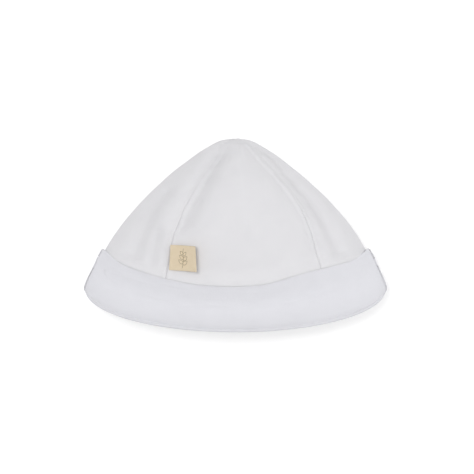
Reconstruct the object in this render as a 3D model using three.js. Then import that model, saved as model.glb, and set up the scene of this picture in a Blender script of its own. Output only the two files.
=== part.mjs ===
// A baby's nightcap of white jersey, lying on its back: four gores, a turned-up cuff and a woven label.
// Millimetres, +Z up. The floor is the plane z = 0, the tip points along +Y and the mouth opens along -Y.
import * as THREE from "three";

// Crown, as it lies
const crownWidth = 194.6; // across the side folds at the rim
const crownLength = 99.6; // from the ends of the rim to the tip
const rimBow = 25.4; // how far the middle of the rim bows out past its ends
const rimTuck = 2; // how far the back of the rim stays behind the front
const foldHeight = 12; // of the side folds above the floor
const loftHeight = 36; // of the front above the side folds
const clothWall = 1.2;
const seamGap = 0.3; // between two gores
const tipHole = 1.2; // left open where the gores meet

// Cuff, turned up over the crown
const cuffDepth = 28.7; // from the turn to the edge
const cuffWall = 2; // two layers
const cuffSlit = 0.6; // between the cuff and the crown
const cuffStand = 0.8; // how far the edge stands off more than that, over the front
const standSpread = 3; // how soon it does so past a side fold
const hemHeight = 8; // of the leg that carries the crown
const hemGap = 1.5; // between that leg and the crown

// Label, sewn into the left front seam
const labelLength = 19.7; // from the seam to the free end, along the middle
const labelStart = 0.4; // from the seam to the sewn end
const labelSlant = 0.6; // how much longer the lower edge is than the middle, and the upper one shorter
const labelSeamHeight = 16.4;
const labelEndHeight = 16.6;
const labelWall = 1;
const labelEndWall = 0.4; // at the rounded free end
const labelGap = 0.1; // over the cloth
const labelRise = 8.3; // from the cuff's edge to the label
const labelLift = 4.4; // how far the free end lifts off the cloth
const labelTilt = 5.5; // degrees that the free end is turned towards the tip

// How round the cap lies
const rimCurve = 1;
const frontCurve = 1.12;
const backCurve = 0.75;
const foldRound = 0.05; // share of the half width over which a side fold is rounded
const backSettle = 1.4;
const landing = 0.55; // how far in the back reaches the floor: 0 at the side fold, 1 at the middle
const landingPower = 6; // the higher, the nearer the tip the back is flat
const tipTuck = 0.88; // share of the side fold where the back turns up to the tip
const creaseEnd = 0.82; // share of the side fold where folds and seams begin to fade into the tip
const settleLength = 12; // in which the crown comes down to the floor behind the cuff

// Sections from the rim to the tip. along is the share of the side fold, half of the half width, up of the
// length, front of the length with the bow, loft and fold of their heights.
const sections = [
  { along: 0, half: 1, up: 0, front: 0, loft: 0.54, fold: 1 },
  { along: 0.2, half: 0.88, up: 0.265, front: 0.21, loft: 0.79, fold: 1.05 },
  { along: 0.35, half: 0.757, up: 0.447, front: 0.37, loft: 0.94, fold: 1.08 },
  { along: 0.45, half: 0.661, up: 0.557, front: 0.48, loft: 1, fold: 1.05 },
  { along: 0.6, half: 0.502, up: 0.711, front: 0.64, loft: 0.94, fold: 1 },
  { along: 0.75, half: 0.33, up: 0.849, front: 0.8, loft: 0.745, fold: 0.93 },
  { along: 0.85, half: 0.208, up: 0.933, front: 0.895, loft: 0.505, fold: 0.9 },
  { along: 0.93, half: 0.103, up: 0.986, front: 0.96, loft: 0.272, fold: 0.85 },
  { along: 1, half: 0, up: 1, front: 1, loft: 0, fold: 0.75 },
];

// Seams, as shares of the half width: two on the front and two under the back.
const seams = [
  { along: 0, left: -0.49, right: 0.62, backLeft: -0.56, backRight: 0.58 },
  { along: 0.25, left: -0.54, right: 0.667, backLeft: -0.6, backRight: 0.62 },
  { along: 0.42, left: -0.61, right: 0.738, backLeft: -0.63, backRight: 0.66 },
  { along: 0.55, left: -0.656, right: 0.772, backLeft: -0.66, backRight: 0.69 },
  { along: 0.68, left: -0.665, right: 0.755, backLeft: -0.68, backRight: 0.71 },
  { along: 0.85, left: -0.7, right: 0.68, backLeft: -0.72, backRight: 0.74 },
  { along: 1, left: -0.74, right: 0.66, backLeft: -0.75, backRight: 0.75 },
];

// Depth of the cuff round the rim, from the right side fold over the front, as shares of the whole turn and
// of cuffDepth.
const cuffEdge = [
  { turn: 0, depth: 1 },
  { turn: 0.05, depth: 1.1 },
  { turn: 0.12, depth: 1.23 },
  { turn: 0.165, depth: 1.23 },
  { turn: 0.22, depth: 1.1 },
  { turn: 0.28, depth: 1.08 },
  { turn: 0.41, depth: 1.12 },
  { turn: 0.465, depth: 1.07 },
  { turn: 0.5, depth: 0.99 },
  { turn: 0.6, depth: 1 },
  { turn: 1, depth: 1 },
];

// Folds of the cloth: reach and rise in millimetres, a hollow with a rise below 0, and the path that each
// follows on the front, as shares of the side fold and the half width.
const folds = [
  // The ridge down the middle
  {
    reach: 7,
    rise: 1.5,
    path: [
      { along: 0.5, share: 0.18 },
      { along: 0.6, share: 0.17 },
      { along: 0.73, share: 0.16 },
      { along: 0.92, share: 0.2 },
    ],
  },
  // The hollow between the right seam and the side fold
  {
    reach: 6,
    rise: -2.5,
    path: [
      { along: 0.28, share: 0.86 },
      { along: 0.44, share: 0.9 },
      { along: 0.62, share: 0.92 },
      { along: 0.77, share: 0.93 },
    ],
  },
  // The hollow along the upper half of the left seam
  {
    reach: 7,
    rise: -3.2,
    path: [
      { along: 0.5, share: -0.62 },
      { along: 0.6, share: -0.62 },
      { along: 0.72, share: -0.63 },
      { along: 0.88, share: -0.69 },
    ],
  },
  // The hollow of the left side
  {
    reach: 7,
    rise: -2.6,
    path: [
      { along: 0.28, share: -0.84 },
      { along: 0.4, share: -0.88 },
      { along: 0.5, share: -0.92 },
      { along: 0.58, share: -0.93 },
    ],
  },
  // The small pleat over the cuff, left of the label
  {
    reach: 4.5,
    rise: -1.8,
    path: [
      { along: 0.24, share: -0.68 },
      { along: 0.33, share: -0.715 },
      { along: 0.41, share: -0.76 },
    ],
  },
];
const seamReach = 5;
const seamSink = 0.8; // of a seam below the cloth beside it

// Fineness of the meshes
const goreRows = 22;
const rowSpacing = 1.25; // of the rows towards the tip: 1 is even
const frontColumns = 18;
const sideColumns = 16;
const foldSpacing = 1.3; // of the columns beside a side fold: 1 is even
const backColumns = 10;
const cuffColumns = 84;
const labelColumns = 7;
const cuffLegShares = [0, 0.35, 0.7]; // of the tall leg, below its edge
const pathSteps = 12; // of a fold's path
const climbStep = 1 / 120; // share of the side fold
const slopeStep = 1e-3;

const jersey = new THREE.Color(0xf0f1f3);
const tape = new THREE.Color(0xdccba6);
const jerseyRoughness = 0.9;
const tapeRoughness = 0.85;
const cuffReach = cuffSlit + cuffWall;
const quarterTurn = Math.PI / 2;
const fullTurn = Math.PI * 2;

// Slope of a table's column at a row, from the rows on each side of it.
function slopeAt(table, key, column, row) {
  const slope = (a) => (table[a + 1][column] - table[a][column]) / (table[a + 1][key] - table[a][key]);
  if (row === 0) return slope(0);
  if (row === table.length - 1) return slope(row - 1);
  const before = table[row][key] - table[row - 1][key];
  const after = table[row + 1][key] - table[row][key];
  return (slope(row - 1) * after + slope(row) * before) / (before + after);
}

// Value of a table's column at a place, on a smooth curve through the rows and straight on past its ends.
function read(table, key, column, place) {
  const last = table.length - 1;
  if (place < table[0][key]) {
    return table[0][column] + slopeAt(table, key, column, 0) * (place - table[0][key]);
  }
  if (place > table[last][key]) {
    return table[last][column] + slopeAt(table, key, column, last) * (place - table[last][key]);
  }
  let row = 0;
  while (row < last - 1 && place > table[row + 1][key]) row += 1;
  const span = table[row + 1][key] - table[row][key];
  const s = (place - table[row][key]) / span;
  const from = table[row][column];
  const to = table[row + 1][column];
  const slopeFrom = slopeAt(table, key, column, row) * span;
  const slopeTo = slopeAt(table, key, column, row + 1) * span;
  const rest = 1 - s;
  return (
    from * (1 + 2 * s) * rest * rest +
    to * s * s * (3 - 2 * s) +
    slopeFrom * s * rest * rest -
    slopeTo * s * s * rest
  );
}

function smoothStep(s) {
  const share = THREE.MathUtils.clamp(s, 0, 1);
  return share * share * (3 - 2 * share);
}

// Height of the back over the floor: it lies on the cuff, and past the cuff on the floor.
function floorRise(along) {
  const climbed = (crownLength + rimBow) * read(sections, "along", "front", along);
  return cuffReach * (1 - smoothStep((climbed - cuffDepth - cuffWall) / settleLength));
}

// A point of the smooth cap, without folds. turn runs from the right side fold over the front, along from
// the rim to the tip.
function bodyPoint(turn, along) {
  const section = (column) => read(sections, "along", column, along);
  const side = (Math.hypot(Math.sin(turn), foldRound) - foldRound) / (Math.hypot(1, foldRound) - foldRound);
  const isFront = Math.sin(turn) >= 0;
  const sideY = crownLength * section("up");
  const frontY = (crownLength + rimBow) * section("front") - rimBow;
  const tuck = isFront ? 0 : rimTuck * (1 - along);
  const fold = foldHeight * section("fold");
  let z = fold + loftHeight * section("loft") * side ** frontCurve;
  if (!isFront) {
    const floor = floorRise(along);
    const landed = landing + (1 - landing) * along ** landingPower;
    const inward = Math.min(1, side / landed);
    const lift = Math.max(0, (along - tipTuck) / (1 - tipTuck)) ** 2;
    const drop = (fold - floor) * (1 - lift);
    z = fold - drop * (1 - (1 - inward ** backCurve) ** backSettle);
  }
  const x = (crownWidth / 2) * section("half") * Math.cos(turn);
  return new THREE.Vector3(x, sideY - (sideY - frontY - tuck) * side ** rimCurve, z);
}

// Direction straight out of the smooth cap.
function bodyNormal(turn, along) {
  const round = bodyPoint(turn + slopeStep, along).sub(bodyPoint(turn - slopeStep, along));
  const up = bodyPoint(turn, along + slopeStep).sub(bodyPoint(turn, along - slopeStep));
  return up.cross(round).normalize();
}

// turn of a share of the half width, on the front or on the back.
function turnOf(share, isFront) {
  const turn = Math.acos(THREE.MathUtils.clamp(share, -1, 1));
  return isFront ? turn : fullTurn - turn;
}

// How far up the cap a distance along the cloth from the rim reaches, at a turn.
function climb(turn, distance) {
  let along = 0;
  let left = distance;
  while (along < 1) {
    const length = bodyPoint(turn, along).distanceTo(bodyPoint(turn, along + climbStep));
    if (left <= length) return along + (climbStep * left) / length;
    left -= length;
    along += climbStep;
  }
  return 1;
}

// The lines that the folds and the front seams follow on the cap.
function creaseLine(path, column, reach, rise) {
  const first = path[0].along;
  const last = path[path.length - 1].along;
  const points = [];
  for (let i = 0; i <= pathSteps; i++) {
    const along = first + ((last - first) * i) / pathSteps;
    points.push(bodyPoint(turnOf(read(path, "along", column, along), true), along));
  }
  return { points, reach, rise };
}

const creases = [
  ...folds.map((fold) => creaseLine(fold.path, "share", fold.reach, fold.rise)),
  creaseLine(seams, "left", seamReach, -seamSink),
  creaseLine(seams, "right", seamReach, -seamSink),
];

// How far the folds and seams move a point of the cap outwards. The back keeps its flat floor.
function creaseRise(point, turn, along) {
  const line = new THREE.Line3();
  const nearest = new THREE.Vector3();
  let total = 0;
  for (const { points, reach, rise } of creases) {
    let gap = Infinity;
    for (let i = 0; i < points.length - 1; i++) {
      line.set(points[i], points[i + 1]);
      line.closestPointToPoint(point, true, nearest);
      gap = Math.min(gap, nearest.distanceTo(point));
    }
    total += rise * Math.exp(-((gap / reach) ** 2));
  }
  total *= 1 - smoothStep((along - creaseEnd) / (1 - creaseEnd));
  if (Math.sin(turn) >= 0) return total;
  const floor = floorRise(along);
  const fold = foldHeight * read(sections, "along", "fold", along);
  return total * THREE.MathUtils.clamp((point.z - floor) / (fold - floor), 0, 1);
}

// A point of the cloth, raised outwards.
function clothPoint(turn, along, rise) {
  const point = bodyPoint(turn, along);
  return point.addScaledVector(bodyNormal(turn, along), rise + creaseRise(point, turn, along));
}

// One closed solid through loops of points that all run round the same way. A ring joins its last loop to
// its first. Otherwise the first and the last loop are closed, across from their first half to their second.
function loft(loops, isRing) {
  const size = loops[0].length;
  const triangles = [];
  const quad = (a, b, c, d) => triangles.push(a, b, c, a, c, d);
  const rows = isRing ? loops.length : loops.length - 1;
  for (let row = 0; row < rows; row++) {
    const here = row * size;
    const next = ((row + 1) % loops.length) * size;
    for (let i = 0; i < size; i++) {
      const j = (i + 1) % size;
      quad(here + i, here + j, next + j, next + i);
    }
  }
  if (!isRing) {
    const end = (loops.length - 1) * size;
    for (let i = 0; i < size / 2 - 1; i++) {
      const across = size - 1 - i;
      quad(i, across, across - 1, i + 1);
      quad(end + i, end + i + 1, end + across - 1, end + across);
    }
  }
  const points = loops.flat();
  const volume = (a, b, c) => points[a].dot(points[b].clone().cross(points[c]));
  let total = 0;
  for (let i = 0; i < triangles.length; i += 3) total += volume(...triangles.slice(i, i + 3));
  if (total < 0) triangles.reverse();
  const geometry = new THREE.BufferGeometry();
  geometry.setAttribute(
    "position",
    new THREE.Float32BufferAttribute(points.flatMap((point) => point.toArray()), 3),
  );
  geometry.setIndex(triangles);
  geometry.computeVertexNormals();
  return geometry;
}

function clothMesh(name, geometry, color, roughness) {
  const material = new THREE.MeshStandardMaterial({ color, roughness, metalness: 0 });
  const mesh = new THREE.Mesh(geometry, material);
  mesh.name = name;
  return mesh;
}

// Where a column of a gore lies between its seams. One that wraps round a side fold has a column on the
// fold, and its columns lie closer together there.
function columnTurn(from, to, share, foldTurn) {
  if (foldTurn === undefined) return THREE.MathUtils.lerp(from, to, share);
  const side = share < 0.5 ? from : to;
  return foldTurn + (side - foldTurn) * Math.abs(2 * share - 1) ** foldSpacing;
}

// One gore: a shell between two seams, from the cuff's hem to the tip. fromTurn and toTurn give the seams.
function gore(name, columns, fromTurn, toTurn, foldTurn) {
  const tipAlong = 1 - tipHole / crownLength;
  const loops = [];
  for (let row = 0; row <= goreRows; row++) {
    const share = 1 - (1 - row / goreRows) ** rowSpacing;
    const outer = [];
    const inner = [];
    for (let column = 0; column <= columns; column++) {
      const guide = share * tipAlong;
      const middle = columnTurn(fromTurn(guide), toTurn(guide), column / columns, foldTurn);
      const bottom = climb(middle, hemHeight + hemGap);
      const along = bottom + (tipAlong - bottom) * share;
      const from = fromTurn(along);
      const to = toTurn(along);
      const inset = (turn, way) => {
        const length = bodyPoint(turn + way * slopeStep, along).distanceTo(bodyPoint(turn, along));
        return turn + (((way * seamGap) / 2) * slopeStep) / length;
      };
      const turn = columnTurn(inset(from, 1), inset(to, -1), column / columns, foldTurn);
      outer.push(clothPoint(turn, along, 0));
      inner.unshift(clothPoint(turn, along, -clothWall));
    }
    loops.push([...outer, ...inner]);
  }
  return clothMesh(name, loft(loops, false), jersey, jerseyRoughness);
}

const seamTurn = (column, isFront) => (along) => turnOf(read(seams, "along", column, along), isFront);
const leftSeam = seamTurn("left", true);
const rightSeam = seamTurn("right", true);
const backLeftSeam = seamTurn("backLeft", false);
const backRightSeam = seamTurn("backRight", false);
const backRightBefore = (along) => backRightSeam(along) - fullTurn;

// The cuff: a ring whose section is a hem inside, a turn at the rim and a tall leg outside.
function cuff() {
  const loops = [];
  const turnRadius = cuffWall + cuffSlit / 2;
  const edgeRadius = cuffWall / 2;
  for (let column = 0; column < cuffColumns; column++) {
    const turn = (column / cuffColumns) * fullTurn;
    const depth = cuffDepth * read(cuffEdge, "turn", "depth", column / cuffColumns);
    const stand = cuffStand * smoothStep(0.5 + Math.sin(turn) * standSpread);
    const loop = [];
    const add = (distance, rise) => {
      const along = climb(turn, distance);
      const point = bodyPoint(turn, along);
      loop.push(point.addScaledVector(bodyNormal(turn, along), rise));
    };
    const addArc = (centre, rise, radius, angles) => {
      for (const angle of angles) {
        add(centre + radius * Math.cos(angle), rise + radius * Math.sin(angle));
      }
    };
    for (const share of [0, 0.5, 1]) add(hemHeight * share, -cuffWall);
    for (const share of [1, 0.5, 0]) add(hemHeight * share, 0);
    add(-cuffSlit / 2, cuffSlit / 2);
    for (const share of cuffLegShares) add(depth * share, cuffSlit + stand * share);
    const edgeAngles = [-quarterTurn, -quarterTurn / 2, 0, quarterTurn / 2, quarterTurn];
    addArc(depth - edgeRadius, cuffSlit + stand + edgeRadius, edgeRadius, edgeAngles);
    for (const share of cuffLegShares.toReversed()) add(depth * share, cuffReach + stand * share);
    const turnAngles = [1.5 * quarterTurn, 2 * quarterTurn, 2.5 * quarterTurn];
    addArc(0, cuffSlit / 2, turnRadius, turnAngles);
    loops.push(loop);
  }
  return clothMesh("cuff", loft(loops, true), jersey, jerseyRoughness);
}

// The label: a folded tape that leaves the left front seam, with its free end lifted off the front gore.
function label() {
  const seamStart = leftSeam(climb(leftSeam(0), cuffDepth));
  const middle = climb(seamStart, cuffDepth + labelRise + labelSeamHeight / 2);
  const turn = leftSeam(middle);
  const out = bodyNormal(turn, middle);
  const above = bodyPoint(leftSeam(middle + climbStep), middle + climbStep);
  const up = above.sub(bodyPoint(leftSeam(middle - climbStep), middle - climbStep));
  up.addScaledVector(out, -up.dot(out)).normalize();
  up.applyAxisAngle(out, THREE.MathUtils.degToRad(labelTilt));
  const across = up.clone().cross(out).normalize();
  const anchor = bodyPoint(turn, middle);
  const loops = [];
  for (let column = 0; column <= labelColumns; column++) {
    const share = column / labelColumns;
    const half = THREE.MathUtils.lerp(labelSeamHeight, labelEndHeight, share) / 2;
    const halfWall = (share < 1 ? labelWall : labelEndWall) / 2;
    const lift = labelGap + labelWall / 2 + labelLift * share ** 2;
    const spot = (side, rise) =>
      anchor
        .clone()
        .addScaledVector(across, labelStart + (labelLength - labelStart - labelSlant * side) * share)
        .addScaledVector(up, side * half)
        .addScaledVector(out, lift + rise);
    const sides = [-1, -0.5, 0, 0.5, 1];
    const top = sides.map((side) => spot(side, halfWall));
    const under = sides.map((side) => spot(-side, -halfWall));
    loops.push([...top, ...under]);
  }
  return clothMesh("label", loft(loops, false), tape, tapeRoughness);
}

const cap = new THREE.Group();
cap.add(
  gore("front_gore", frontColumns, rightSeam, leftSeam),
  gore("left_gore", sideColumns, leftSeam, backLeftSeam, Math.PI),
  gore("back_gore", backColumns, backLeftSeam, backRightSeam),
  gore("right_gore", sideColumns, backRightBefore, rightSeam, 0),
  cuff(),
  label(),
);

// The middle of the cap's footprint is the origin.
const box = new THREE.Box3().setFromObject(cap);
const centre = box.getCenter(new THREE.Vector3());
cap.position.set(-centre.x, -centre.y, -box.min.z);

const group = new THREE.Group();
group.add(cap);
export default group;
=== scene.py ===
# The looks of a baby's nightcap of white jersey that lies on its back and is seen from straight above.
# The cloth is worked out in millimetres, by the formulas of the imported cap, and its meshes are in metres.
import math

import bpy
import numpy as np
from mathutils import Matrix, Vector


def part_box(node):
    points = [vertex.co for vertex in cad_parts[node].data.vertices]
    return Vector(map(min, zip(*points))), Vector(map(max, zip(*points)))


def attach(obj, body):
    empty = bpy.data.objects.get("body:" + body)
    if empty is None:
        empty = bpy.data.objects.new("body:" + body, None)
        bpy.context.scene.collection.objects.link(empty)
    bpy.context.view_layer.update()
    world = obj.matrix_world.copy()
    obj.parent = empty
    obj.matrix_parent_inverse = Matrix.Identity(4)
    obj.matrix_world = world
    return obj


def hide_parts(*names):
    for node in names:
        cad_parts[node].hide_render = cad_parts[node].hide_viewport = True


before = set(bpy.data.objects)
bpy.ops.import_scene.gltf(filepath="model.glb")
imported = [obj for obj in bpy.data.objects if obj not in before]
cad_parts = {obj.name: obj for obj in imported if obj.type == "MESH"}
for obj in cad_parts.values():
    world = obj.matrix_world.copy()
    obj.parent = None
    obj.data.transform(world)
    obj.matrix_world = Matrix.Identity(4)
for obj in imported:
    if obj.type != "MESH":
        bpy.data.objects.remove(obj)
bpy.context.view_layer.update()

MM = 0.001
QUARTER = math.pi / 2
FULL = 2 * math.pi

# Crown, as it lies, in millimetres
CROWN_WIDTH = 194.6
CROWN_LENGTH = 99.6
RIM_BOW = 25.4
RIM_TUCK = 2
FOLD_HEIGHT = 12
LOFT_HEIGHT = 36
CLOTH_WALL = 1.1
TIP_HOLE = 0.25

# How round the cap lies, as in the frame
RIM_CURVE = 1
FRONT_CURVE = 1.12
BACK_CURVE = 0.75
FOLD_ROUND = 0.05
BACK_SETTLE = 1.4
LANDING = 0.55
LANDING_POWER = 6
TIP_TUCK = 0.88
CREASE_END = 0.86
SETTLE_LENGTH = 12

# Sections of the crown from the rim to the tip, and its seams as shares of the half width
SECTIONS = {
    "along": (0, 0.2, 0.35, 0.45, 0.6, 0.75, 0.85, 0.93, 1),
    "half": (1, 0.88, 0.757, 0.661, 0.502, 0.33, 0.208, 0.103, 0),
    "up": (0, 0.265, 0.447, 0.557, 0.711, 0.849, 0.933, 0.986, 1),
    "front": (0, 0.21, 0.37, 0.48, 0.64, 0.8, 0.895, 0.96, 1),
    "loft": (0.54, 0.79, 0.94, 1, 0.94, 0.745, 0.505, 0.272, 0),
    "fold": (1, 1.05, 1.08, 1.05, 1, 0.93, 0.9, 0.85, 0.75),
}
SEAMS = {
    "along": (0, 0.25, 0.42, 0.55, 0.68, 0.85, 1),
    "left": (-0.49, -0.54, -0.61, -0.656, -0.665, -0.7, -0.74),
    "right": (0.62, 0.667, 0.738, 0.772, 0.755, 0.68, 0.66),
    "back_left": (-0.56, -0.6, -0.63, -0.66, -0.68, -0.72, -0.75),
    "back_right": (0.58, 0.62, 0.66, 0.69, 0.71, 0.74, 0.75),
}

# Cuff, in millimetres. Its edge gives the depth round the cap, as shares of a whole turn and of the depth.
# Its profile is the rise of its outside from the rim, at 0, to its free edge, at 1. The arc in which its slit
# ends at the rim is in quarters of a turn.
CUFF_DEPTH = 28.7
CUFF_WALL = 2
CUFF_EDGE_WALL = 1.3
CUFF_TAPER = 7
CUFF_SLIT = 0.6
SLIT_ARC = (-1.4, -2.6)
CUFF_REACH = CUFF_SLIT + CUFF_WALL
CUFF_STAND = 0.2
STAND_SPREAD = 3
STAND_AT_FOLD = 0.5
CUFF_SIDE = 0.6
CUFF_SIDE_POWER = 6
CUFF_WAVE = 0.25
CUFF_WAVE_LENGTH = 30
HEM_HEIGHT = 8
CUFF_EDGE = {
    "turn": (0, 0.05, 0.12, 0.165, 0.22, 0.28, 0.41, 0.465, 0.5, 0.6, 1),
    "depth": (1, 1.1, 1.23, 1.23, 1.1, 1.08, 1.12, 1.07, 0.99, 1, 1),
}
CUFF_PROFILE = {
    "share": (0, 0.08, 0.18, 0.32, 0.5, 0.66, 0.84, 1),
    "rise": (-0.7, 0.05, 0.4, 0.1, -1.35, -2, -1.4, 0),
}
PROFILE_SPREAD = 2
PROFILE_AT_FOLD = 0.3

# Label, in millimetres
LABEL_LENGTH = 19.7
LABEL_START = 1
LABEL_SLANT = 0.6
LABEL_LEAN = 0.04
LABEL_SEAM_HEIGHT = 16.4
LABEL_END_HEIGHT = 16.6
LABEL_WALL = 1
LABEL_GAP = 0.4
LABEL_RISE = 8.3
LABEL_LIFT = 4.4
LABEL_TILT = math.radians(5.5)
TAPE = 0.34

# The sprig on the label: its stem and leaves in millimetres, with each leaf's lean in degrees, and the
# section of its thread in shares of the thread's width and rise
STEM = {
    "row": (0, 1, 2, 3, 4),
    "across": (-0.6, 0.1, 0.3, -0.1, 0.3),
    "up": (-6.6, -3.2, 0.4, 3.4, 6.4),
}
LEAVES = (
    {"start": -4.2, "lean": 52, "length": 4.2, "width": 1.15},
    {"start": -3.4, "lean": -55, "length": 4.0, "width": 1.1},
    {"start": -1.4, "lean": 48, "length": 3.9, "width": 1.1},
    {"start": -0.6, "lean": -50, "length": 3.8, "width": 1.05},
    {"start": 1.5, "lean": 44, "length": 3.3, "width": 0.95},
    {"start": 2.3, "lean": -45, "length": 3.1, "width": 0.9},
)
LEAF_POWER = 0.8
THREAD_SECTION = ((-0.5, -0.3), (-0.35, 0.7), (0, 1), (0.35, 0.7), (0.5, -0.3), (0, -0.4))
THREAD_WIDTH = 0.36
THREAD_RISE = 0.1
SPRIG_CENTRE = 9.6

# Folds of the front: reach and rise in millimetres, and the path of each.
# They are a ridge down the middle, the right hollow, the left seam's hollow, the left hollow,
# a pleat over the cuff and a soft streak beside the tip.
FOLDS = (
    {"reach": 7.5, "rise": 1.5, "along": (0.5, 0.6, 0.73, 0.92), "share": (0.14, 0.13, 0.12, 0.16)},
    {"reach": 6.5, "rise": -2.4, "along": (0.28, 0.44, 0.6, 0.7), "share": (0.86, 0.9, 0.92, 0.93)},
    {"reach": 8.5, "rise": -4.4, "along": (0.5, 0.6, 0.72, 0.88), "share": (-0.59, -0.59, -0.6, -0.64)},
    {"reach": 7, "rise": -2.6, "along": (0.28, 0.4, 0.5, 0.58), "share": (-0.84, -0.88, -0.92, -0.93)},
    {"reach": 4.5, "rise": -1.8, "along": (0.24, 0.33, 0.41), "share": (-0.68, -0.715, -0.76)},
    {"reach": 4, "rise": -0.9, "along": (0.76, 0.8, 0.84, 0.885), "share": (0.935, 0.94, 0.94, 0.94)},
)
FOLD_START = 7
SEAM_REACH = 5
SEAM_SINK = 0.8

# What a closer look at the cloth shows: sewn seams, puckers, the swell over the cuff and loose cloth
GROOVE_DEPTH = 0.22
GROOVE_REACH = 0.55
GROOVE_FADE = 0.85
ROLL_RISE = 0.3
ROLL_PLACE = 1.5
ROLL_REACH = 1
RIDGE_START = 0.4
RIDGE_SPREAD = 0.25
RIDGE_FADE = 0.12
RIDGE_RISE = 1.1
RIDGE_REACH = 2.2
PUCKER_RISE = 0.16
PUCKER_REACH = 4.5
PUCKER_LENGTH = 6.5
SWELL_RISE = 3
SWELL_UNDER = 0.25
SWELL_START = -2.4
SWELL_TOP = -0.2
SWELL_REACH = 6.5
SWELL_SPREAD = 2
LOOSE_RISE = 0.22
LOOSE_LENGTH = 24

# Uneven waves: how many make one up, how much their lengths differ, and the seed of each use
WAVES = 9
SHORTEST_WAVE = 1.5
LONGEST_WAVE = 0.6
PUCKER_SEED = 3
LOOSE_SEED = 5
CUFF_SEED = 8

# Fineness of the meshes
GORE_ROWS = 230
ROW_SPACING = 1.15
FRONT_COLUMNS = 170
SIDE_COLUMNS = 120
BACK_COLUMNS = 130
FOLD_SPACING = 1.2
CUFF_COLUMNS = 560
CUFF_STEPS = {"hem": 9, "slit": 3, "inside": 18, "edge": 10, "outside": 46, "rim": 16}
LABEL_COLUMNS = 40
LABEL_FOLD_POINTS = 13
LABEL_ROWS = 42
STEM_STEPS = 40
LEAF_POINTS = 15
PATH_STEPS = 24
CLIMB_STEP = 1 / 120
STEPS_BELOW_RIM = 4
SLOPE_STEP = 1e-3

# The knit: one wale across and one course up, in millimetres, and the lean and depth of a stitch.
# The cuff has no seam that shows, so its cloth is marked as far from one, in millimetres.
WALE = 0.85
COURSE = 0.62
STITCH_LEAN = 1.3
LOOP_DEPTH = 0.4
FAR_FROM_SEAM = 50

# Ranges of a noise's values that its effects run over
WIDE_NOISE = (0.3, 0.7)
NARROW_NOISE = (0.35, 0.65)

# Jersey: colours, scales for a metre, heights in metres, shares of painted shade in the seams and between
# the stitches, and the share by which the tone differs at random in clouds
CROWN_WHITE = (0.79, 0.784, 0.802, 1)
CUFF_WHITE = (0.794, 0.794, 0.833, 1)
JERSEY_PAINTED_SHADE_AND_TONE = (0.56, 0.56, 0.6, 1)
KNIT_HEIGHT = 0.00009
JERSEY_FUZZ_SCALE = 3800
JERSEY_FUZZ_HEIGHT = 0.00012
CLOUD_SCALE = 90
CLOUD_HEIGHT = 0.0003
SEAM_PAINTED_SHADE = 0.06
SEAM_PAINTED_SHADE_REACH = 0.6
STITCH_PAINTED_SHADE = 0.25
CLOUD_SHADE = 0.03

# Tape: the threads' spacing in millimetres, colours, with painted shade where the weave is low, and heights
# in metres
RIB = 0.42
THREAD = 0.3
WEAVE_SHARE = 0.35
TAPE_TAN = (0.80, 0.675, 0.49, 1)
TAPE_PAINTED_SHADE = (0.62, 0.5, 0.33, 1)
TAPE_LIGHT = (0.86, 0.75, 0.58, 1)
TAPE_PAINTED_SHADE_SHARE = 0.35
TAPE_LIGHT_SHARE = 0.25
TAPE_FUZZ_SCALE = 3000
TAPE_FUZZ_HEIGHT = 0.00008
TAPE_CLOUD_SCALE = 350
WEAVE_HEIGHT = 0.00005

# Stitched thread
THREAD_DARK = (0.3, 0.23, 0.13, 1)
THREAD_PALE = (0.43, 0.35, 0.23, 1)
THREAD_FUZZ_SCALE = 4000
THREAD_FUZZ_HEIGHT = 0.00005

# Studio, in metres: a pale floor, a white surround, a soft light from the upper left and a wider, weaker
# one from the right
FLOOR_HALF = 1.5
FLOOR_DROP = 0.0002
FLOOR_GREY = (0.6, 0.6, 0.6, 1)
FLOOR_GLOW = 0.48
KEY_LIGHT = {"place": (-0.38, 0.23, 1.62), "size": 0.5, "power": 10.8}
FILL_LIGHT = {"place": (1.15, -0.1, 1.1), "size": 1.2, "power": 5.2}
WORLD_LOW = 0.46
WORLD_HIGH = 0.67
WHITE = (1, 1, 1, 1)

# Camera, in millimetres. The cap's outline lies at the cap level, where a pixel of the photograph has its
# size, and the cap's pixel is where the photograph shows the frame's origin.
PHOTO_PIXELS = 474
PIXEL = 0.658
CAP_PIXEL = (235.5, 235.1)
CAP_LEVEL = 16
CAMERA_HEIGHT = 2000
CAMERA_REACH = 20000
SENSOR = 36


def smooth_step(s):
    share = np.clip(s, 0, 1)
    return share * share * (3 - 2 * share)


def bell(distance, reach):
    return np.exp(-((distance / reach) ** 2))


def read(table, key, column, place):
    """A table's column at places, on a smooth curve through its rows and straight on past its ends."""
    x = np.array(table[key], float)
    y = np.array(table[column], float)
    gaps = np.diff(x)
    slopes = np.diff(y) / gaps
    inner = (slopes[:-1] * gaps[1:] + slopes[1:] * gaps[:-1]) / (gaps[:-1] + gaps[1:])
    slope = np.concatenate([slopes[:1], inner, slopes[-1:]])
    place = np.asarray(place, float)
    row = np.clip(np.searchsorted(x, place, side="right") - 1, 0, len(x) - 2)
    s = np.clip((place - x[row]) / gaps[row], 0, 1)
    rest = 1 - s
    value = y[row] * (1 + 2 * s) * rest**2 + y[row + 1] * s**2 * (3 - 2 * s)
    value += gaps[row] * (slope[row] * s * rest**2 - slope[row + 1] * s**2 * rest)
    value += slope[0] * np.minimum(place - x[0], 0)
    return value + slope[-1] * np.maximum(place - x[-1], 0)


def length(vectors):
    return np.linalg.norm(vectors, axis=-1)


def unit(vectors):
    return vectors / length(vectors)[..., None]


def run_lengths(points, axis):
    """Lengths along rows of points, from 0."""
    steps = length(np.diff(points, axis=axis))
    return np.insert(np.cumsum(steps, axis=axis), 0, 0, axis=axis)


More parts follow.
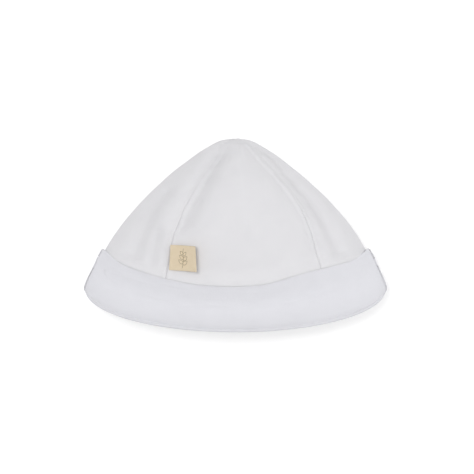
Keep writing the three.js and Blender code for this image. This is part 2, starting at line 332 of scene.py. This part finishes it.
def floor_rise(along):
    """Height of the back over the floor: it lies on the cuff, and past the cuff on the floor."""
    climbed = (CROWN_LENGTH + RIM_BOW) * read(SECTIONS, "along", "front", along)
    return CUFF_REACH * (1 - smooth_step((climbed - CUFF_DEPTH - CUFF_WALL) / SETTLE_LENGTH))


def body_point(turn, along):
    """Points of the smooth cap. turn runs from the right side fold over the front, along from rim to tip."""
    turn, along = np.broadcast_arrays(turn, along)
    section = {name: read(SECTIONS, "along", name, along) for name in ("half", "up", "front", "loft", "fold")}
    side = (np.hypot(np.sin(turn), FOLD_ROUND) - FOLD_ROUND) / (math.hypot(1, FOLD_ROUND) - FOLD_ROUND)
    is_front = np.sin(turn) >= 0
    side_y = CROWN_LENGTH * section["up"]
    front_y = (CROWN_LENGTH + RIM_BOW) * section["front"] - RIM_BOW
    tuck = np.where(is_front, 0, RIM_TUCK * (1 - along))
    fold = FOLD_HEIGHT * section["fold"]
    front_z = fold + LOFT_HEIGHT * section["loft"] * side**FRONT_CURVE
    landed = LANDING + (1 - LANDING) * np.maximum(along, 0) ** LANDING_POWER
    inward = np.minimum(1, side / landed)
    lift = np.maximum(0, (along - TIP_TUCK) / (1 - TIP_TUCK)) ** 2
    drop = (fold - floor_rise(along)) * (1 - lift)
    back_z = fold - drop * (1 - (1 - inward**BACK_CURVE) ** BACK_SETTLE)
    x = CROWN_WIDTH / 2 * section["half"] * np.cos(turn)
    y = side_y - (side_y - front_y - tuck) * side**RIM_CURVE
    return np.stack([x, y, np.where(is_front, front_z, back_z)], -1)


def body_normal(turn, along):
    """The way straight out of the smooth cap."""
    around = body_point(turn + SLOPE_STEP, along) - body_point(turn - SLOPE_STEP, along)
    up = body_point(turn, along + SLOPE_STEP) - body_point(turn, along - SLOPE_STEP)
    return unit(np.cross(up, around))


def turn_of(share, is_front):
    """The turn at a share of the half width, on the front or on the back."""
    turn = np.arccos(np.clip(share, -1, 1))
    return turn if is_front else FULL - turn


def front_share(turn, at_fold, spread):
    """1 on the front, 0 on the back, and at_fold before its smoothing at the side folds."""
    return smooth_step(at_fold + spread * np.sin(turn))


def back_share(points, turn, along):
    """1 on the front, and on the back from 1 at the side fold down to 0 on the floor."""
    floor = floor_rise(along)
    fold = FOLD_HEIGHT * read(SECTIONS, "along", "fold", along)
    return np.where(np.sin(turn) >= 0, 1, np.clip((points[..., 2] - floor) / (fold - floor), 0, 1))


def climb(turn, distance):
    """How far up the cap a distance along the cloth from the rim reaches, at each turn."""
    turn, distance = np.broadcast_arrays(np.asarray(turn, float), np.asarray(distance, float))
    places = np.arange(-CLIMB_STEP * STEPS_BELOW_RIM, 1 + CLIMB_STEP / 2, CLIMB_STEP)
    reached = run_lengths(body_point(turn.ravel()[:, None], places[None, :]), 1)
    reached -= reached[:, STEPS_BELOW_RIM, None]
    found = [np.interp(d, r, places) for d, r in zip(distance.ravel(), reached)]
    return np.array(found).reshape(turn.shape)


def line_gap(points, path):
    """Distance of each point from a path of points."""
    nearest = np.full(points.shape[:-1], np.inf)
    for start, end in zip(path[:-1], path[1:]):
        step = end - start
        share = np.clip((points - start) @ step / (step @ step), 0, 1)
        nearest = np.minimum(nearest, length(points - start - share[..., None] * step))
    return nearest


def crease_path(table, column):
    """Points of the smooth cap along a fold or seam of the front."""
    along = np.linspace(table["along"][0], table["along"][-1], PATH_STEPS + 1)
    return body_point(turn_of(read(table, "along", column, along), True), along)


CREASES = [(crease_path(fold, "share"), fold["reach"], fold["rise"]) for fold in FOLDS]
CREASES += [(crease_path(SEAMS, side), SEAM_REACH, -SEAM_SINK) for side in ("left", "right")]


def crease_rise(points, turn, along):
    """How far the folds and seams move the cloth outwards. The back keeps its flat floor."""
    total = sum(rise * bell(line_gap(points, path), reach) for path, reach, rise in CREASES)
    total = total * (1 - smooth_step((along - CREASE_END) / (1 - CREASE_END)))
    return total * back_share(points, turn, along)


def ripple(points, wave_length, seed):
    """A soft uneven wave, mostly from -1 to 1, through space, the same on each run."""
    draw = np.random.default_rng(seed)
    total = np.zeros(points.shape[:-1])
    for _ in range(WAVES):
        direction = unit(draw.normal(size=3)) * draw.uniform(LONGEST_WAVE, SHORTEST_WAVE)
        total += np.sin(points @ (direction * FULL / wave_length) + draw.uniform(0, FULL))
    return total / math.sqrt(WAVES / 2) / 2


def add_piece(name, points, faces, node=None):
    """A smooth mesh through points in millimetres, on the cap's one body. It may stand for a node."""
    mesh = bpy.data.meshes.new(name)
    mesh.from_pydata(points * MM, [], faces)
    mesh.polygons.foreach_set("use_smooth", np.ones(len(mesh.polygons), bool))
    piece = bpy.data.objects.new(name, mesh)
    bpy.context.scene.collection.objects.link(piece)
    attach(piece, "root")
    if node:
        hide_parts(node)
    return piece


def loft(name, loops, is_ring, marks, node):
    """A closed mesh through loops of points. marks holds what the cloth's material reads at each point."""
    count, size = loops.shape[:2]
    index = np.arange(count * size).reshape(count, size)
    here = index if is_ring else index[:-1]
    above = np.roll(index, -1, 0) if is_ring else index[1:]
    faces = [np.stack([here, np.roll(here, -1, 1), np.roll(above, -1, 1), above], -1).reshape(-1, 4)]
    if not is_ring:
        half = size // 2
        for loop, way in ((index[0], 1), (index[-1], -1)):
            near = loop[:half]
            far = loop[::-1][:half]
            faces.append(np.stack([near[:-1], far[:-1], far[1:], near[1:]], -1)[:, ::way])
    faces = np.concatenate(faces)
    points = loops.reshape(-1, 3)
    corners = points[faces]
    slants = np.cross(corners[:, 1], corners[:, 2])
    is_inside_out = np.einsum("ij,ij->i", corners[:, 0], slants).sum() < 0
    if is_inside_out:
        faces = faces[:, ::-1]
    piece = add_piece(name, points, faces.tolist(), node)
    cloth = piece.data.attributes.new("cloth", "FLOAT_VECTOR", "POINT")
    cloth.data.foreach_set("vector", np.ascontiguousarray(marks, np.float32).ravel())
    piece.data.update()
    return piece


def column_turn(start, end, share, fold_turn):
    """The turn at a share of a gore's width. Columns are closer together near its side fold, if any."""
    if fold_turn is None:
        return start + (end - start) * share
    side = np.where(share < 0.5, start, end)
    return fold_turn + (side - fold_turn) * np.abs(2 * share - 1) ** FOLD_SPACING


def seam_turn(column, is_front):
    """A seam, as a function that gives its turn at each place along the cap."""
    return lambda along: turn_of(read(SEAMS, "along", column, along), is_front)


LEFT_SEAM = seam_turn("left", True)
RIGHT_SEAM = seam_turn("right", True)
BACK_LEFT_SEAM = seam_turn("back_left", False)
BACK_RIGHT_SEAM = seam_turn("back_right", False)


def back_right_before(along):
    """The back's right seam one whole turn earlier, where the right gore starts."""
    return BACK_RIGHT_SEAM(along) - FULL


def cuff_depth(turn):
    """How far the cuff reaches up the crown, along the cloth."""
    return CUFF_DEPTH * read(CUFF_EDGE, "turn", "depth", np.mod(turn / FULL, 1))


def seam_rise(points, along, seam_gap):
    """The groove, the rolls and the puckers of a sewn seam, which turns into a ridge higher up the crown."""
    upper = smooth_step((along - RIDGE_START) / RIDGE_SPREAD) * smooth_step((1 - along) / RIDGE_FADE)
    rise = RIDGE_RISE * upper * bell(seam_gap, RIDGE_REACH)
    rise += -GROOVE_DEPTH * (1 - GROOVE_FADE * upper) * np.exp(-seam_gap / GROOVE_REACH)
    rise += ROLL_RISE * (1 - upper) * bell(seam_gap - ROLL_PLACE, ROLL_REACH)
    return rise + PUCKER_RISE * bell(seam_gap, PUCKER_REACH) * ripple(points, PUCKER_LENGTH, PUCKER_SEED)


def swell_rise(turn, climbed):
    """The crown is held down under the cuff and swells just over the cuff's edge."""
    past = climbed - cuff_depth(turn)
    out_of_cuff = smooth_step((past - SWELL_START) / (SWELL_TOP - SWELL_START))
    under = SWELL_UNDER + (SWELL_RISE - SWELL_UNDER) * out_of_cuff
    over = SWELL_RISE * bell(past - SWELL_TOP, SWELL_REACH)
    return np.where(past < SWELL_TOP, under, over) * front_share(turn, 0, SWELL_SPREAD)


def detail_rise(points, turn, along, seam_gap, climbed):
    """What the sewn seams, the cuff and the loose cloth add to the main folds."""
    seams = seam_rise(points, along, seam_gap)
    swell = swell_rise(turn, climbed)
    loose = LOOSE_RISE * ripple(points, LOOSE_LENGTH, LOOSE_SEED)
    return (seams + swell + loose) * back_share(points, turn, along)


def gore(name, node, columns, from_turn, to_turn, fold_turn=None):
    """One gore, from the cuff's hem to the tip, between two seams."""
    tip_along = 1 - TIP_HOLE / CROWN_LENGTH
    share = (1 - (1 - np.linspace(0, 1, GORE_ROWS + 1)) ** ROW_SPACING)[:, None]
    across = np.linspace(0, 1, columns + 1)[None, :]
    guide = share * tip_along
    middle = column_turn(from_turn(guide), to_turn(guide), across, fold_turn)
    bottom = climb(middle, HEM_HEIGHT)
    along = bottom + (tip_along - bottom) * share
    turn = column_turn(from_turn(along), to_turn(along), across, fold_turn)
    base = body_point(turn, along)
    out = body_normal(turn, along)
    width = run_lengths(base, 1)
    height = HEM_HEIGHT + run_lengths(base, 0)
    seam_gap = np.minimum(width, width[:, -1:] - width)
    creases = crease_rise(base, turn, along) * smooth_step((height - cuff_depth(turn)) / FOLD_START)
    rise = creases + detail_rise(base, turn, along, seam_gap, height)
    outer = base + out * rise[..., None]
    outer[..., 2] = np.maximum(outer[..., 2], 0)
    inner = base + out * (np.minimum(rise, creases) - CLOTH_WALL)[..., None]
    loops = np.concatenate([outer, inner[:, ::-1]], 1)
    marks = np.stack([width - width[:, -1:] / 2, height, seam_gap], -1)
    marks = np.concatenate([marks, marks[:, ::-1]], 1)
    return loft(name, loops + SHIFT, False, marks, node)


def cuff_section(turn):
    """The cuff's section at each turn, as distances from the rim and rises from the crown."""
    depth = cuff_depth(turn)
    stand = CUFF_STAND * front_share(turn, STAND_AT_FOLD, STAND_SPREAD)
    edge_radius = CUFF_EDGE_WALL / 2
    slit_radius = CUFF_SLIT / 2
    slit_start, slit_end = (QUARTER * quarters for quarters in SLIT_ARC)
    side = CUFF_SIDE * np.abs(np.cos(turn)) ** CUFF_SIDE_POWER
    on_front = front_share(turn, PROFILE_AT_FOLD, PROFILE_SPREAD)
    distances, rises = [], []

    def add(distance, rise):
        distances.append(np.broadcast_to(distance, turn.shape))
        rises.append(np.broadcast_to(rise, turn.shape))

    def add_arc(centre, rise, radius, start, end, steps):
        for angle in np.linspace(start, end, steps + 1):
            add(centre + radius * math.cos(angle), rise + radius * math.sin(angle))

    for share in np.linspace(0, 1, CUFF_STEPS["hem"]):
        add(HEM_HEIGHT * share, -CUFF_WALL)
    for share in np.linspace(1, 0, CUFF_STEPS["hem"]):
        add(HEM_HEIGHT * share, 0)
    add_arc(0, slit_radius, slit_radius, slit_start, slit_end, CUFF_STEPS["slit"])
    for share in np.linspace(0, 1, CUFF_STEPS["inside"], endpoint=False):
        add((depth - edge_radius) * share, CUFF_SLIT + stand * share)
    edge_rise = CUFF_SLIT + stand + edge_radius
    add_arc(depth - edge_radius, edge_rise, edge_radius, -QUARTER, QUARTER, CUFF_STEPS["edge"])
    for share in np.linspace(1, 0, CUFF_STEPS["outside"])[1:]:
        down = (1 - share) * (depth - edge_radius)
        thin = (CUFF_WALL - CUFF_EDGE_WALL) * smooth_step(1 - down / CUFF_TAPER)
        loose = read(CUFF_PROFILE, "share", "rise", share) * on_front
        add((depth - edge_radius) * share, CUFF_REACH + stand * share - thin + loose + side)
    add_arc(0, slit_radius, CUFF_WALL + slit_radius, QUARTER, QUARTER * 3, CUFF_STEPS["rim"])
    return np.stack(distances, 1), np.stack(rises, 1)


def cuff_loops():
    """The cuff all round: a hem inside, the turn at the rim and a tall leg outside, with its marks."""
    turn = QUARTER * 3 + np.linspace(0, 1, CUFF_COLUMNS, endpoint=False) * FULL
    distance, rise = cuff_section(turn)
    turns = np.broadcast_to(turn[:, None], distance.shape)
    along = climb(turns, distance)
    base = body_point(turns, along)
    out = body_normal(turns, along)
    points = base + out * rise[..., None]
    wave = CUFF_WAVE * ripple(base, CUFF_WAVE_LENGTH, CUFF_SEED) * back_share(base, turns, along)
    is_outside = rise > CUFF_SLIT + CUFF_EDGE_WALL / 2
    points += out * np.where(is_outside, wave, 0)[..., None]
    points[..., 2] = np.maximum(points[..., 2], 0)
    rim = body_point(turn, np.zeros_like(turn))
    around = np.broadcast_to(run_lengths(rim, 0)[:, None], distance.shape)
    section = run_lengths(points, 1)
    return points, np.stack([around, section, np.full_like(section, FAR_FROM_SEAM)], -1)


# The formulas start at the ends of the rim, and the frame's origin is in the middle of its footprint.
loops_of_cuff, marks_of_cuff = cuff_loops()
frame_low, frame_high = (np.array(corner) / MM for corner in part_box("cuff"))
own_low = loops_of_cuff.reshape(-1, 3).min(0)
own_high = loops_of_cuff.reshape(-1, 3).max(0)
shift_x = (frame_low[0] + frame_high[0] - own_low[0] - own_high[0]) / 2
SHIFT = np.array([shift_x, frame_low[1] - own_low[1], 0])


class Nodes:
    """A short way to build a material from nodes."""

    def __init__(self, name):
        self.material = bpy.data.materials.new(name)
        self.material.use_nodes = True
        self.tree = self.material.node_tree
        self.shader = self.tree.nodes["Principled BSDF"]

    def add(self, kind, values=None, **settings):
        node = self.tree.nodes.new(kind)
        for key, value in settings.items():
            setattr(node, key, value)
        for socket, value in (values or {}).items():
            self.put(node.inputs[socket], value)
        return node

    def put(self, socket, value):
        if isinstance(value, bpy.types.NodeSocket):
            self.tree.links.new(value, socket)
        else:
            socket.default_value = value

    def surface(self, values):
        for socket, value in values.items():
            self.put(self.shader.inputs[socket], value)

    def cloth(self):
        """The marks of the cloth, which loft gave to each point."""
        marks = self.add("ShaderNodeAttribute", attribute_name="cloth").outputs["Vector"]
        parts = self.add("ShaderNodeSeparateXYZ", {"Vector": marks}).outputs
        return parts["X"], parts["Y"], parts["Z"]

    def place(self):
        return self.add("ShaderNodeTexCoord").outputs["Object"]

    def math(self, operation, *values):
        node = self.add("ShaderNodeMath", operation=operation)
        for socket, value in zip(node.inputs, values):
            self.put(socket, value)
        return node.outputs[0]

    def noise(self, vector, scale, detail):
        values = {"Vector": vector, "Scale": scale, "Detail": detail}
        return self.add("ShaderNodeTexNoise", values).outputs["Fac"]

    def ramp(self, value, low, high, start, end):
        """value from low to high becomes start to end, and stays there past them."""
        values = {"Value": value, "From Min": low, "From Max": high, "To Min": start, "To Max": end}
        return self.add("ShaderNodeMapRange", values).outputs["Result"]

    def mix(self, share, first, second):
        node = self.add("ShaderNodeMix", data_type="RGBA")
        self.put(node.inputs["Factor"], share)
        self.put(node.inputs[6], first)
        self.put(node.inputs[7], second)
        return node.outputs[2]

    def bump(self, height, distance, normal=None):
        node = self.add("ShaderNodeBump", {"Height": height, "Distance": distance, "Strength": 1.0})
        if normal:
            self.put(node.inputs["Normal"], normal)
        return node.outputs["Normal"]


def jersey_material(name, white):
    """White cotton interlock: fine columns of stitches, a little fuzz and uneven cloth, with painted shade
    along the seams and between the stitches.
    """
    nodes = Nodes(name)
    across, up, seam_gap = nodes.cloth()
    place = nodes.place()
    leg = nodes.math("PINGPONG", nodes.math("MULTIPLY", across, 1 / WALE), 0.5)
    round_leg = nodes.math("SINE", nodes.math("MULTIPLY", leg, FULL))
    lean = nodes.math("MULTIPLY", leg, STITCH_LEAN)
    course = nodes.math("ADD", nodes.math("MULTIPLY", up, 1 / COURSE), lean)
    loop = nodes.math("COSINE", nodes.math("MULTIPLY", course, FULL))
    stitch = nodes.math("MULTIPLY", round_leg, nodes.math("MULTIPLY_ADD", loop, LOOP_DEPTH, 1 - LOOP_DEPTH))
    fuzz = nodes.noise(place, JERSEY_FUZZ_SCALE, 3)
    cloud = nodes.noise(place, CLOUD_SCALE, 2)
    fluffy = nodes.bump(fuzz, JERSEY_FUZZ_HEIGHT, nodes.bump(stitch, KNIT_HEIGHT))
    # Painted shade: the cloth is darker within a little of each seam and in the hollows between the stitches
    seam = nodes.ramp(seam_gap, 0, SEAM_PAINTED_SHADE_REACH, SEAM_PAINTED_SHADE, 0)
    painted_stitch_shade = nodes.math("MULTIPLY", nodes.math("SUBTRACT", 1, stitch), STITCH_PAINTED_SHADE)
    clouded = nodes.ramp(cloud, *WIDE_NOISE, CLOUD_SHADE, -CLOUD_SHADE)
    shade = nodes.math("ADD", nodes.math("ADD", seam, painted_stitch_shade), clouded)
    nodes.surface({
        "Base Color": nodes.mix(nodes.math("MAXIMUM", shade, 0), white, JERSEY_PAINTED_SHADE_AND_TONE),
        "Normal": nodes.bump(cloud, CLOUD_HEIGHT, fluffy),
        "Roughness": nodes.ramp(fuzz, *WIDE_NOISE, 0.86, 0.98),
        "Specular IOR Level": 0.25,
        "Sheen Weight": 0.12,
        "Sheen Roughness": 0.6,
    })
    return nodes.material


def tape_material():
    """Tan woven ribbon: fine ribs across it and the threads between them, with painted shade where the
    weave is low.
    """
    nodes = Nodes("woven_tape")
    across, up, _ = nodes.cloth()
    place = nodes.place()
    rib = nodes.math("SINE", nodes.math("MULTIPLY", up, FULL / RIB))
    thread = nodes.math("SINE", nodes.math("MULTIPLY", across, FULL / THREAD))
    weave = nodes.math("MULTIPLY_ADD", nodes.math("MULTIPLY", rib, thread), WEAVE_SHARE, rib)
    fuzz = nodes.noise(place, TAPE_FUZZ_SCALE, 3)
    cloud = nodes.noise(place, TAPE_CLOUD_SCALE, 2)
    # Painted shade: the tan darkens towards the shade colour where the weave is low
    tan = nodes.mix(nodes.ramp(weave, -1, 1, TAPE_PAINTED_SHADE_SHARE, 0), TAPE_TAN, TAPE_PAINTED_SHADE)
    nodes.surface({
        "Base Color": nodes.mix(nodes.ramp(cloud, *NARROW_NOISE, 0, TAPE_LIGHT_SHARE), tan, TAPE_LIGHT),
        "Normal": nodes.bump(fuzz, TAPE_FUZZ_HEIGHT, nodes.bump(weave, WEAVE_HEIGHT)),
        "Roughness": nodes.ramp(fuzz, *WIDE_NOISE, 0.7, 0.85),
        "Specular IOR Level": 0.3,
        "Sheen Weight": 0.1,
    })
    return nodes.material


def thread_material():
    """Grey-brown embroidery thread with a little fuzz."""
    nodes = Nodes("grey_brown_thread")
    fuzz = nodes.noise(nodes.place(), THREAD_FUZZ_SCALE, 2)
    nodes.surface({
        "Base Color": nodes.mix(nodes.ramp(fuzz, *NARROW_NOISE, 0, 1), THREAD_DARK, THREAD_PALE),
        "Normal": nodes.bump(fuzz, THREAD_FUZZ_HEIGHT),
        "Roughness": 0.8,
    })
    return nodes.material


def paper_material():
    """Matte white paper that glows a little, so that it stays as white as the photograph's floor."""
    nodes = Nodes("white_paper")
    nodes.surface({
        "Base Color": FLOOR_GREY,
        "Roughness": 0.9,
        "Specular IOR Level": 0.1,
        "Emission Color": WHITE,
        "Emission Strength": FLOOR_GLOW,
    })
    return nodes.material


class LabelShape:
    """Where the label lies: on the left front seam, over the front gore."""

    def __init__(self):
        seam_start = LEFT_SEAM(climb(LEFT_SEAM(0), CUFF_DEPTH))
        middle = climb(seam_start, CUFF_DEPTH + LABEL_RISE + LABEL_SEAM_HEIGHT / 2)
        turn = LEFT_SEAM(middle)
        self.out = body_normal(turn, middle)
        up = body_point(LEFT_SEAM(middle + CLIMB_STEP), middle + CLIMB_STEP)
        up = up - body_point(LEFT_SEAM(middle - CLIMB_STEP), middle - CLIMB_STEP)
        up = unit(up - self.out * (up @ self.out))
        self.up = up * math.cos(LABEL_TILT) + np.cross(self.out, up) * math.sin(LABEL_TILT)
        self.across = unit(np.cross(self.up, self.out))
        self.anchor = body_point(turn, middle)

    def point(self, share, side, rise):
        """share runs from the seam to the free end, side from -1 below to 1 above, rise from its middle."""
        share, side, rise = (np.asarray(value, float)[..., None] for value in (share, side, rise))
        half = (LABEL_SEAM_HEIGHT + (LABEL_END_HEIGHT - LABEL_SEAM_HEIGHT) * share) / 2
        lift = LABEL_GAP + LABEL_WALL / 2 + LABEL_LIFT * share**2
        reach = LABEL_START * (1 - share) + LABEL_LEAN * side * half * (1 - share)
        reach = reach + (LABEL_START + LABEL_LENGTH - LABEL_SLANT * side) * share
        return self.anchor + self.across * reach + self.up * side * half + self.out * (lift + rise)


def label_skin(radius):
    """One face of the folded tape, out along the upper leg, round the free end and back."""
    legs = np.linspace(0, 1, LABEL_COLUMNS, endpoint=False) * (1 - LABEL_WALL / 2 / LABEL_LENGTH)
    rounds = np.linspace(QUARTER, -QUARTER, LABEL_FOLD_POINTS)
    fold = 1 - LABEL_WALL / 2 / LABEL_LENGTH + radius / LABEL_LENGTH * np.cos(rounds)
    upper = np.full(LABEL_COLUMNS, radius)
    return np.concatenate([legs, fold, legs[::-1]]), np.concatenate([upper, radius * np.sin(rounds), -upper])


def label(shape):
    """The folded tape: an upper and a lower leg with a round fold at the free end."""
    outer = label_skin(LABEL_WALL / 2)
    inner = label_skin(LABEL_WALL / 2 - TAPE)
    share = np.concatenate([outer[0], inner[0][::-1]])[None, :]
    rise = np.concatenate([outer[1], inner[1][::-1]])[None, :]
    sides = np.linspace(-1, 1, LABEL_ROWS)[:, None]
    points = shape.point(share, sides, rise + 0 * sides)
    places = np.broadcast_arrays(share * LABEL_LENGTH, sides * LABEL_END_HEIGHT / 2, 0 * sides)
    return loft("label_tape", points + SHIFT, False, np.stack(places, -1), "label")


def leaf_path(leaf, stem):
    """The outline of one leaf, from the stem round to the stem again."""
    root = stem[np.argmin(abs(stem[:, 1] - leaf["start"]))]
    lean = math.radians(leaf["lean"])
    ahead = np.array([math.sin(lean), math.cos(lean)])
    aside = np.array([ahead[1], -ahead[0]])
    share = np.linspace(0, 1, LEAF_POINTS)
    middle = root + np.outer(share * leaf["length"], ahead)
    half = np.outer(leaf["width"] * np.sin(math.pi * share**LEAF_POWER), aside)
    return np.concatenate([middle + half, (middle - half)[::-1][1:]])


def sprig_paths():
    """The stem, on a smooth curve through its chosen points, and the leaves' outlines."""
    rows = np.linspace(0, STEM["row"][-1], STEM_STEPS + 1)
    stem = np.stack([read(STEM, "row", "across", rows), read(STEM, "row", "up", rows)], -1)
    return [stem] + [leaf_path(leaf, stem) for leaf in LEAVES]


def sprig(shape):
    """A plain sprig of leaves in thin raised thread lines on the label."""
    vertices, faces = [], []
    size = len(THREAD_SECTION)
    for path in sprig_paths():
        ahead = unit(np.gradient(path, axis=0))
        aside = np.stack([-ahead[:, 1], ahead[:, 0]], -1)
        first = len(vertices)
        for spot, side in zip(path, aside):
            for sideways, rise in THREAD_SECTION:
                x, y = spot + side * sideways * THREAD_WIDTH
                share = (SPRIG_CENTRE + x) / LABEL_LENGTH
                place = shape.point(share, y / (LABEL_END_HEIGHT / 2), LABEL_WALL / 2)
                vertices.append(place + shape.out * rise * THREAD_RISE)
        for row in range(len(path) - 1):
            here = first + row * size
            for i in range(size):
                j = (i + 1) % size
                faces.append((here + i, here + j, here + size + j, here + size + i))
        last = first + (len(path) - 1) * size
        faces.append(tuple(first + i for i in range(size))[::-1])
        faces.append(tuple(last + i for i in range(size)))
    return add_piece("label_sprig", np.array(vertices) + SHIFT, faces)


def studio_floor():
    """A square of white paper just under the cap."""
    mesh = bpy.data.meshes.new("floor")
    corners = [(-1, -1), (1, -1), (1, 1), (-1, 1)]
    mesh.from_pydata([(x * FLOOR_HALF, y * FLOOR_HALF, 0) for x, y in corners], [], [(0, 1, 2, 3)])
    floor = bpy.data.objects.new("floor", mesh)
    bpy.context.scene.collection.objects.link(floor)
    floor.location.z = -FLOOR_DROP
    mesh.materials.append(paper_material())


def area_light(name, place, size, power):
    """A square lamp that points at the frame's origin."""
    data = bpy.data.lights.new(name, "AREA")
    data.shape = "SQUARE"
    data.size = size
    data.energy = power
    lamp = bpy.data.objects.new(name, data)
    bpy.context.scene.collection.objects.link(lamp)
    lamp.location = place
    lamp.rotation_euler = (-Vector(place)).to_track_quat("-Z", "Y").to_euler()


def studio_world(low, high):
    """A white surround that is dimmer at the horizon than overhead."""
    world = bpy.data.worlds.new("studio")
    world.use_nodes = True
    tree = world.node_tree
    direction = tree.nodes.new("ShaderNodeTexCoord")
    parts = tree.nodes.new("ShaderNodeSeparateXYZ")
    tree.links.new(direction.outputs["Generated"], parts.inputs[0])
    level = tree.nodes.new("ShaderNodeMapRange")
    level.inputs["To Min"].default_value = low
    level.inputs["To Max"].default_value = high
    tree.links.new(parts.outputs["Z"], level.inputs["Value"])
    tree.links.new(level.outputs["Result"], tree.nodes["Background"].inputs["Strength"])
    tree.nodes["Background"].inputs["Color"].default_value = WHITE
    bpy.context.scene.world = world


def photo_camera():
    """A camera straight above, which shows the cap where the photograph does."""
    data = bpy.data.cameras.new("camera")
    data.sensor_width = SENSOR
    data.lens = SENSOR * (CAMERA_HEIGHT - CAP_LEVEL) / (PHOTO_PIXELS * PIXEL)
    data.clip_end = CAMERA_REACH * MM
    camera = bpy.data.objects.new("camera", data)
    bpy.context.scene.collection.objects.link(camera)
    centre = PHOTO_PIXELS / 2
    right = (centre - CAP_PIXEL[0]) * PIXEL * MM
    up = (CAP_PIXEL[1] - centre) * PIXEL * MM
    camera.location = (right, up, CAMERA_HEIGHT * MM)
    bpy.context.scene.camera = camera


crown_jersey = jersey_material("crown_jersey", CROWN_WHITE)
cuff_jersey = jersey_material("cuff_jersey", CUFF_WHITE)
gores = [
    gore("front_panel", "front_gore", FRONT_COLUMNS, RIGHT_SEAM, LEFT_SEAM),
    gore("left_panel", "left_gore", SIDE_COLUMNS, LEFT_SEAM, BACK_LEFT_SEAM, math.pi),
    gore("back_panel", "back_gore", BACK_COLUMNS, BACK_LEFT_SEAM, BACK_RIGHT_SEAM),
    gore("right_panel", "right_gore", SIDE_COLUMNS, back_right_before, RIGHT_SEAM, 0),
]
for piece in gores:
    piece.data.materials.append(crown_jersey)
turned_cuff = loft("turned_cuff", loops_of_cuff + SHIFT, True, marks_of_cuff, "cuff")
turned_cuff.data.materials.append(cuff_jersey)
label_shape = LabelShape()
label(label_shape).data.materials.append(tape_material())
sprig(label_shape).data.materials.append(thread_material())

studio_floor()
area_light("key_light", **KEY_LIGHT)
area_light("fill_light", **FILL_LIGHT)
studio_world(WORLD_LOW, WORLD_HIGH)
photo_camera()
bpy.context.scene.view_settings.view_transform = "Standard"
